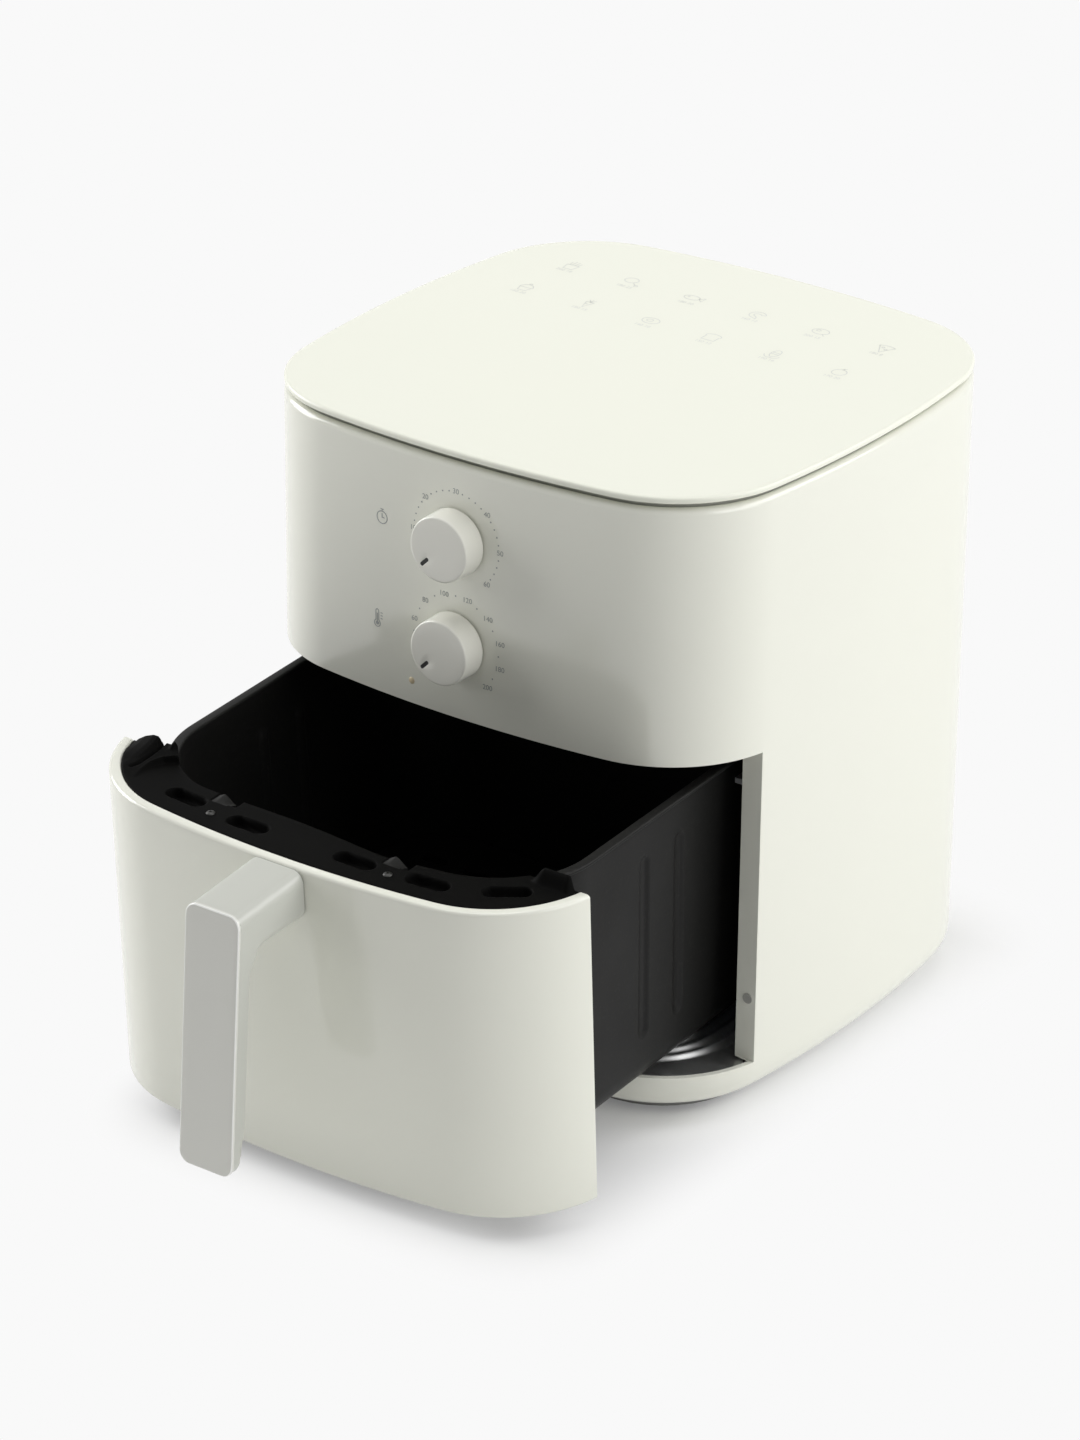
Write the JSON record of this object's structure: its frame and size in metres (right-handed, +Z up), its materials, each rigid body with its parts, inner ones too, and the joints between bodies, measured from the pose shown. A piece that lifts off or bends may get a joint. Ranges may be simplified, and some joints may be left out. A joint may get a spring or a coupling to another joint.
{
  "type": "air fryer",
  "caption": "Basket air fryer with a rounded square housing, two turning dials, a handled pull-out drawer with a lift-out crisper tray, and a fan and heater inside.",
  "frame": {"origin": "on the ground under the middle of the housing", "axes": "+Z up, -Y to the front where the drawer pulls out, +X to the right of someone facing the front"},
  "size_m": [0.264, 0.4356, 0.305],
  "materials": {
    "white_plastic": "glossy, slightly warm white",
    "top_white": "smooth satin gloss",
    "knob_white": "satin gloss",
    "handle_white": "satin gloss",
    "handle_cover": "satin gloss",
    "seal_gray": "matt",
    "base_gray": "fine grained",
    "foot_rubber": "matt",
    "screw_steel": "zinc plated",
    "black_steel": "black non-stick coating",
    "bright_steel": "bright pressed steel",
    "galvanised": "galvanised sheet",
    "shaft_steel": "ground steel",
    "heater_steel": "oxidised tube",
    "fan_aluminium": "stamped",
    "motor_gray": "laminations and cans",
    "black_plastic": "fine grained",
    "insulator_white": "moulded insulator",
    "wire_red": "cable insulation",
    "copper": "drawn copper",
    "lamp_amber": "clear tinted lens",
    "plunger_red": "smooth",
    "glide_nylon": "waxy nylon",
    "bumper_silicone": "matt silicone"
  },
  "bodies": {
    "housing": {"outer_shell": "white_plastic", "top_plate": "top_white", "top_seal": "seal_gray", "base_plate": "base_gray", "feet": "foot_rubber", "base_screws": "screw_steel", "cheek_screws": "screw_steel", "chamber_liner": "black_steel", "floor_plate": "bright_steel", "drawer_rails": "black_steel", "ceiling_plate": "galvanised", "heater_shroud": "galvanised", "heater_coil": "heater_steel", "heater_clips": "galvanised", "motor": "motor_gray", "motor_bracket": "galvanised", "thermal_fuse": "insulator_white", "exhaust_duct": "galvanised", "outlet_grille": "black_plastic", "cord_gland": "black_plastic", "terminal_block": "insulator_white", "wiring": "wire_red", "control_bracket": "galvanised", "timer_unit": "insulator_white", "timer_bell": "galvanised", "thermostat_unit": "insulator_white", "thermostat_bulb": "copper", "indicator_lens": "lamp_amber", "indicator_lamp": "insulator_white", "interlock_switch": "black_plastic"},
    "fan_rotor": {"motor_shaft": "shaft_steel", "hot_air_fan": "fan_aluminium", "fan_nut": "screw_steel", "cooling_fan": "fan_aluminium"},
    "timer_dial": {"timer_knob": "knob_white", "timer_spindle": "shaft_steel"},
    "temperature_dial": {"temperature_knob": "knob_white", "thermostat_spindle": "shaft_steel"},
    "plunger": {"switch_plunger": "plunger_red"},
    "glides": {"rim_glides": "glide_nylon"},
    "drawer": {"basket": "black_steel", "drawer_front": "white_plastic", "drawer_frame": "black_plastic", "frame_clips": "black_plastic", "frame_screws": "screw_steel", "handle_body": "handle_white", "handle_face": "handle_cover", "handle_screws": "screw_steel"},
    "tray": {"crisper_tray": "black_steel", "tray_bumpers": "bumper_silicone"}
  },
  "joints": [
    {"name": "drawer_slide", "type": "slide", "parent": "housing", "child": "glides", "axis": [0, -0.9988, -0.0483], "range_m": [-0.1256, 0.0504]},
    {"name": "drawer_droop", "type": "hinge", "parent": "glides", "child": "drawer", "pos_m": [0, -0.04145, 0.17013], "axis": [1, 0, 0], "range_deg": [-3.3, 1.35]},
    {"name": "tray_lift", "type": "slide", "parent": "drawer", "child": "tray", "axis": [0, -0.0572, 0.9984], "range_m": [0, 0.09]},
    {"name": "timer_turn", "type": "hinge", "parent": "housing", "child": "timer_dial", "pos_m": [0, -0.13, 0.2636], "axis": [0, 1, 0], "range_deg": [0, 270]},
    {"name": "temperature_turn", "type": "hinge", "parent": "housing", "child": "temperature_dial", "pos_m": [0, -0.13, 0.2148], "axis": [0, 1, 0], "range_deg": [0, 270]},
    {"name": "fan_spin", "type": "hinge", "parent": "housing", "child": "fan_rotor", "pos_m": [0, 0.015, 0.216], "axis": [0, 0, 1], "continuous": true},
    {"name": "plunger_press", "type": "slide", "parent": "housing", "child": "plunger", "axis": [0, 0, 1], "range_m": [0, 0.0025], "stiffness_N_per_m": 300, "springref_m": -0.002}
  ],
  "couplings": [
    {"joint": "drawer_droop", "follows": "drawer_slide", "rad_per_m": 0.45553}
  ]
}
